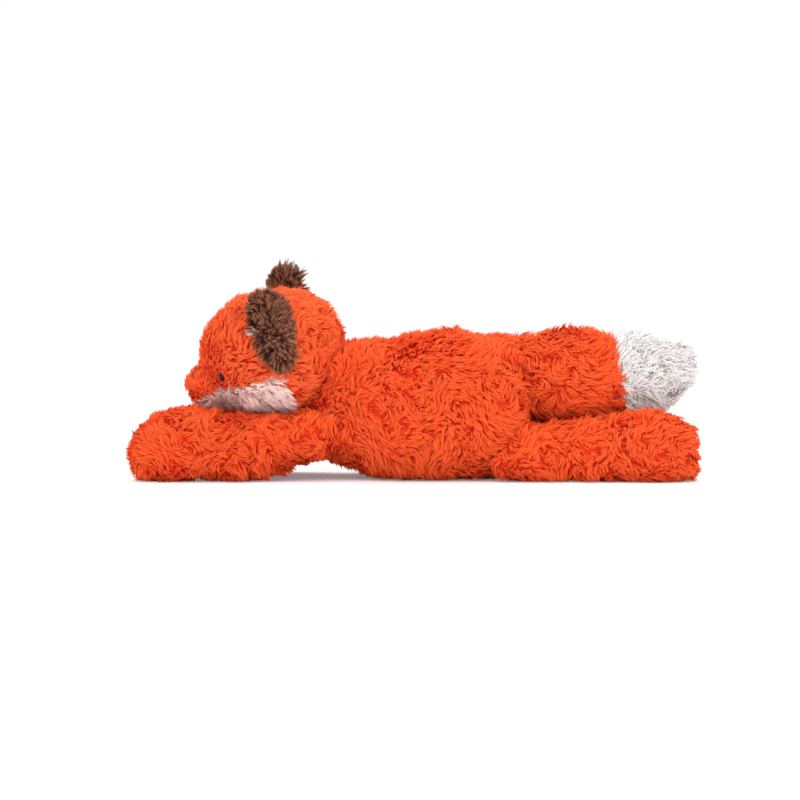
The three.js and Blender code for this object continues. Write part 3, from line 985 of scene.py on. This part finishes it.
def leg_trim(points):
    """Pressed under the chin and the shoulder, creased beside the body and the toes, short at the feet"""
    x, y, z = points[:, 0] / MM, np.abs(points[:, 1]) / MM, points[:, 2] / MM
    pressed = between(x, CHIN_ALONG) & (y < CHIN_WITHIN) & (z > CHIN_ABOVE)
    pressed |= between(x, SHOULDER_ALONG) & (z < SHOULDER_BELOW)
    toes = between(x, TOES_ALONG) & (z < TOES_BELOW)
    ends = np.where(x < 0, 1, np.clip((HIND_END - x) / HIND_FADE, HIND_SHARE, 1))
    trim = np.where(toes, TOES_SHARE, np.where(pressed, PRESSED_SHARE, 1.0))
    return trim * ends * creased(points, [Form(BODY, BESIDE)])


class FOX_OT_legs(bpy.types.Operator):
    """The four legs"""
    bl_idname = "fox.legs"
    bl_label = "Legs"

    def execute(self, context):
        pile = fur_piles()["leg"]
        outside = clear_of([Form(BODY, BURIED)])
        for seed, (kind, (_, _, ahead)) in zip((301, 311), LEGS.items()):
            for name, side in SIDES:
                body = f"{name}_{kind}_leg"
                whole = stuffed(f"{body}_whole", [leg_form(kind, side, -BACKING_SINK)])
                cover(body, whole, body, "orange", f"{body}_skin")
                grow_fur(
                    [f"{body}_fur"], Skin(whole), body, "orange", pile, (ahead, 0, LIMB_RISE),
                    seed=seed + side, keep=outside, shorter=leg_trim)
                discard(whole)
        return {"FINISHED"}


# Point that the pile of the tail's tip runs toward, in millimetres
TIP_MEET = (195, 0, 78)


def past_seam(points):
    """True for each point on the tail's white tip"""
    return (points - np.array(TIP_SEAM)) @ np.array(TIP_SEAM_NORMAL) > 0


def tip_nap(points):
    """Pile of the tail's tip runs together behind it"""
    return unit(np.array(TIP_MEET) * MM - points)


class FOX_OT_tail(bpy.types.Operator):
    """The tail: orange sleeve and white tip"""
    bl_idname = "fox.tail"
    bl_label = "Tail"

    def execute(self, context):
        piles = fur_piles()
        whole = stuffed("tail_whole", [Form(TAIL, -BACKING_SINK)], floor=0)
        skin = Skin(whole)
        outside = clear_of([Form(BODY, BURIED)])

        parts = (
            ("tail_sleeve", "tail_skin", "orange", piles["tail"], (1, 0, LIMB_RISE), all_but(past_seam)),
            ("tail_tip", "tail_tip", "white", piles["tip"], tip_nap, past_seam),
        )
        for seed, (part, node, shade, pile, lie, chosen) in enumerate(parts, start=401):
            cover(part, whole, "tail", shade, node, chosen)
            grow_fur([f"{part}_fur"], skin, "tail", shade, pile, lie, seed, keep=both(chosen, outside))
        discard(whole)
        return {"FINISHED"}


def ear_place(ear):
    """Matrix that stands an ear's form on its base, its own Z toward the back of the ear"""
    side = ear["side"]
    outward = Vector((math.sin(EAR_TURN), side * math.cos(EAR_TURN), 0))
    tip = Vector((-math.sin(ear["lean"]), 0, 1)) - outward * math.sin(EAR_INWARD)
    tip.normalize()
    across = outward.cross(tip).normalized()
    back = tip.cross(across)
    turn = Matrix((tip, across, back)).transposed().to_4x4()
    return Matrix.Translation(Vector(ear["base"]) * MM) @ turn @ Matrix.Diagonal((1, ear["slim"], 1, 1))


class FOX_OT_ears(bpy.types.Operator):
    """Both ears: brown fur backs that wrap round the rims of pale fronts"""
    bl_idname = "fox.ears"
    bl_label = "Ears"

    def execute(self, context):
        for seed, (name, ear) in zip((500, 510), EARS.items()):
            self.build(f"{name}_ear", ear, seed)
        return {"FINISHED"}

    def build(self, body, ear, seed):
        """Cloth and pile of one ear"""
        place = ear_place(ear)
        inverse = place.inverted()
        pile = fur_piles()["ear"]
        whole = stuffed(f"{body}_whole", [Form(EAR, place=place)], subdivisions=4)
        skin = Skin(whole)

        def at_back(points):
            return placed(points, inverse)[:, 2] > EAR_SPLIT * MM

        def white(points):
            """The pale front shows only as a small tuft at its leading edge, inside the brown rim"""
            local = placed(points, inverse) / MM
            up, ahead = EAR_SPOT
            spot = (local[:, :2] - (up, -ear["side"] * ahead)) / EAR_SPOT_SIZE
            return ((spot ** 2).sum(axis=1) < 1) & (local[:, 2] < EAR_SPOT_TOP)

        def lie(points):
            """Out from the ear's middle to its rim"""
            fan = (placed(points, inverse) - np.array(EAR_FAN) * MM) * EAR_FAN_SPREAD
            return fan @ np.array(place.to_3x3()).T

        for part, shade, chosen in (("back", "brown", at_back), ("front", "white", all_but(at_back))):
            cover(f"{body}_{part}", whole, body, shade, f"{body}_{part}", chosen, look="brown")
        for part, shade, chosen in (("back", "brown", all_but(white)), ("front", "white", white)):
            grow_fur([f"{body}_{part}_fur"], skin, body, shade, pile, lie, seed, keep=chosen)
        discard(whole)


def eye_place(name, side):
    """Middle of an eye's back rim and the way it faces, from its washer's place in the frame"""
    low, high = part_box(f"{name}_eye_washer")
    outward = Vector((EYE_OUTWARD.x, -side * EYE_OUTWARD.y, EYE_OUTWARD.z))
    return (Vector(low) + Vector(high)) / 2 + outward * EYE_OUT * MM, outward


def nose_place():
    """The same for the nose"""
    low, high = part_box("nose_washer")
    return (Vector(low) + Vector(high)) / 2 + NOSE_OUTWARD * NOSE_OUT * MM, NOSE_OUTWARD


def button(name, node, place, size):
    """A moulded button with a rolled rim on its shank, of a half width, a depth and a half height"""
    at, outward = place
    wide, deep, high = size
    profile = [(0.0, deep)]
    for degrees in (75, 60, 45, 30, 15, 0):
        angle = math.radians(degrees)
        profile.append((wide * math.cos(angle), deep * math.sin(angle)))
    profile += [(wide * RIM, -RIM_DEPTH), (SHANK, -BACK_DEPTH), (SHANK, -SHANK_END), (0.0, -SHANK_END)]
    bm = bmesh.new()
    points = [bm.verts.new((radius, 0, height)) for radius, height in profile]
    edges = [bm.edges.new(pair) for pair in zip(points, points[1:])]
    bmesh.ops.spin(
        bm, geom=points + edges, cent=(0, 0, 0), axis=(0, 0, 1), angle=2 * math.pi, steps=32,
        use_merge=True)
    bmesh.ops.remove_doubles(bm, verts=bm.verts, dist=1e-6)
    bmesh.ops.recalc_face_normals(bm, faces=bm.faces)
    bmesh.ops.scale(bm, vec=(1, high / wide, 1), verts=bm.verts)
    turn = outward.to_track_quat("Z", "Y").to_matrix().to_4x4()
    bmesh.ops.transform(bm, matrix=Matrix.Translation(at) @ turn, verts=bm.verts)
    piece = link(name, finish_mesh(bm, name))
    look = bpy.data.materials.get("button_plastic") or button_look()
    dress(piece, look, "head", [node])


class FOX_OT_face(bpy.types.Operator):
    """Eyes and nose"""
    bl_idname = "fox.face"
    bl_label = "Eyes and nose"

    def execute(self, context):
        for name, side in SIDES:
            button(f"{name}_eye_button", f"{name}_eye", eye_place(name, side), EYE_SIZE)
        button("nose_button", "nose", nose_place(), NOSE_SIZE)
        return {"FINISHED"}


class FOX_OT_inside(bpy.types.Operator):
    """Finishes of what the covers hold"""
    bl_idname = "fox.inside"
    bl_label = "Inside"

    def execute(self, context):
        finishes = {
            "stuffing": fibre_look(),
            "pouch": pouch_look(),
            "pellets": pellet_look(),
            "washer": washer_look(),
            "thread": thread_look(),
        }
        for name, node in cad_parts.items():
            for ending, material in finishes.items():
                if name.endswith(ending):
                    node.data.materials.clear()
                    node.data.materials.append(material)
        return {"FINISHED"}


# Lamps: place, size and watts
LAMPS = {
    "key_lamp": ((-0.7, -1.3, 1.2), 1.5, 13.5),
    "fill_lamp": ((0.8, -1.2, 0.5), 1.3, 9.0),
    "back_lamp": ((0.2, 0.7, 1.8), 1.3, 18.0),
}

# Strength of the light all round, how far the floor reaches, its white and its glow to the camera, and the
# point that the camera looks at
SKY = 0.9
FLOOR_REACH = 6
FLOOR_WHITE = 0.95
FLOOR_GLOW = 0.18
VIEW_TARGET = Vector((-0.0095, 0, 0.0482))


def aimed(name, data, place, direction):
    """Links a lamp or camera that looks along a direction"""
    holder = link(name, data)
    holder.location = place
    holder.rotation_euler = direction.to_track_quat("-Z", "Y").to_euler()
    return holder


class FOX_OT_stage(bpy.types.Operator):
    """White floor and world, soft lamps and the camera"""
    bl_idname = "fox.stage"
    bl_label = "Stage"

    def execute(self, context):
        scene = context.scene
        scene.view_settings.view_transform = "Standard"
        self.world(scene)
        self.floor()
        for name, (place, size, watts) in LAMPS.items():
            lamp = bpy.data.lights.new(name, "AREA")
            lamp.size = size
            lamp.energy = watts
            aimed(name, lamp, place, -Vector(place))
        self.camera(scene)
        return {"FINISHED"}

    def world(self, scene):
        """Soft light all round, and plain white to the camera and in reflections"""
        world = bpy.data.worlds.new("studio")
        world.use_nodes = True
        tree = NodeTree(world.node_tree)
        tree.nodes.remove(tree.nodes["Background"])
        camera, glossy, through = (
            tree.node("ShaderNodeLightPath", output=f"Is {kind} Ray")
            for kind in ("Camera", "Glossy", "Transmission"))
        seen = camera.math("MAXIMUM", camera, glossy.math("MAXIMUM", glossy, through))
        soft, white = (
            tree.node("ShaderNodeBackground", None, {"Color": colour(1, 1, 1), "Strength": strength})
            for strength in (SKY, 1.0))
        mix = tree.node("ShaderNodeMixShader", None, {0: seen, 1: soft, 2: white})
        tree.put(tree.nodes["World Output"].inputs["Surface"], mix)
        scene.world = world

    def floor(self):
        bm = bmesh.new()
        bmesh.ops.create_grid(bm, x_segments=1, y_segments=1, size=FLOOR_REACH)
        piece = link("floor", finish_mesh(bm, "floor"))
        look = Look("white_floor", Roughness=0.9, Specular_IOR_Level=0.0)
        piece.data.materials.append(look.feed(
            Base_Color=colour(FLOOR_WHITE, FLOOR_WHITE, FLOOR_WHITE),
            Emission_Color=look.node("ShaderNodeLightPath", output="Is Camera Ray"),
            Emission_Strength=FLOOR_GLOW,
        ))

    def camera(self, scene):
        s = scene.fox_stage
        data = bpy.data.cameras.new("camera")
        data.lens = s.lens
        data.clip_start = 0.05
        distance = s.view_width * s.lens / data.sensor_width
        back = Vector((0, -math.cos(s.elevation), math.sin(s.elevation)))
        scene.camera = aimed("camera", data, VIEW_TARGET + back * distance, -back)


class FOX_PT_panel(bpy.types.Panel):
    """Lists the fox's pieces"""
    bl_label = "Plush Fox"
    bl_idname = "FOX_PT_panel"
    bl_space_type = "VIEW_3D"
    bl_region_type = "UI"
    bl_category = "Fox"

    def draw(self, context):
        for key in ("length", "width", "height", "density", "orange", "white", "brown"):
            self.layout.prop(context.scene.fox_fur, key)
        for key in ("elevation", "lens", "view_width"):
            self.layout.prop(context.scene.fox_stage, key)
        for operator in OPERATORS:
            self.layout.operator(operator.bl_idname)


OPERATORS = (
    FOX_OT_stage, FOX_OT_body, FOX_OT_head, FOX_OT_legs, FOX_OT_tail, FOX_OT_ears, FOX_OT_face,
    FOX_OT_inside)
CLASSES = (FurSettings, StageSettings, *OPERATORS, FOX_PT_panel)


def register():
    for item in CLASSES:
        bpy.utils.register_class(item)
    bpy.types.Scene.fox_fur = bpy.props.PointerProperty(type=FurSettings)
    bpy.types.Scene.fox_stage = bpy.props.PointerProperty(type=StageSettings)


def unregister():
    del bpy.types.Scene.fox_stage
    del bpy.types.Scene.fox_fur
    for item in reversed(CLASSES):
        bpy.utils.unregister_class(item)


def main():
    register()
    for operator in OPERATORS:
        getattr(bpy.ops.fox, operator.bl_idname.split(".")[1])()


if __name__ == "__main__":
    main()
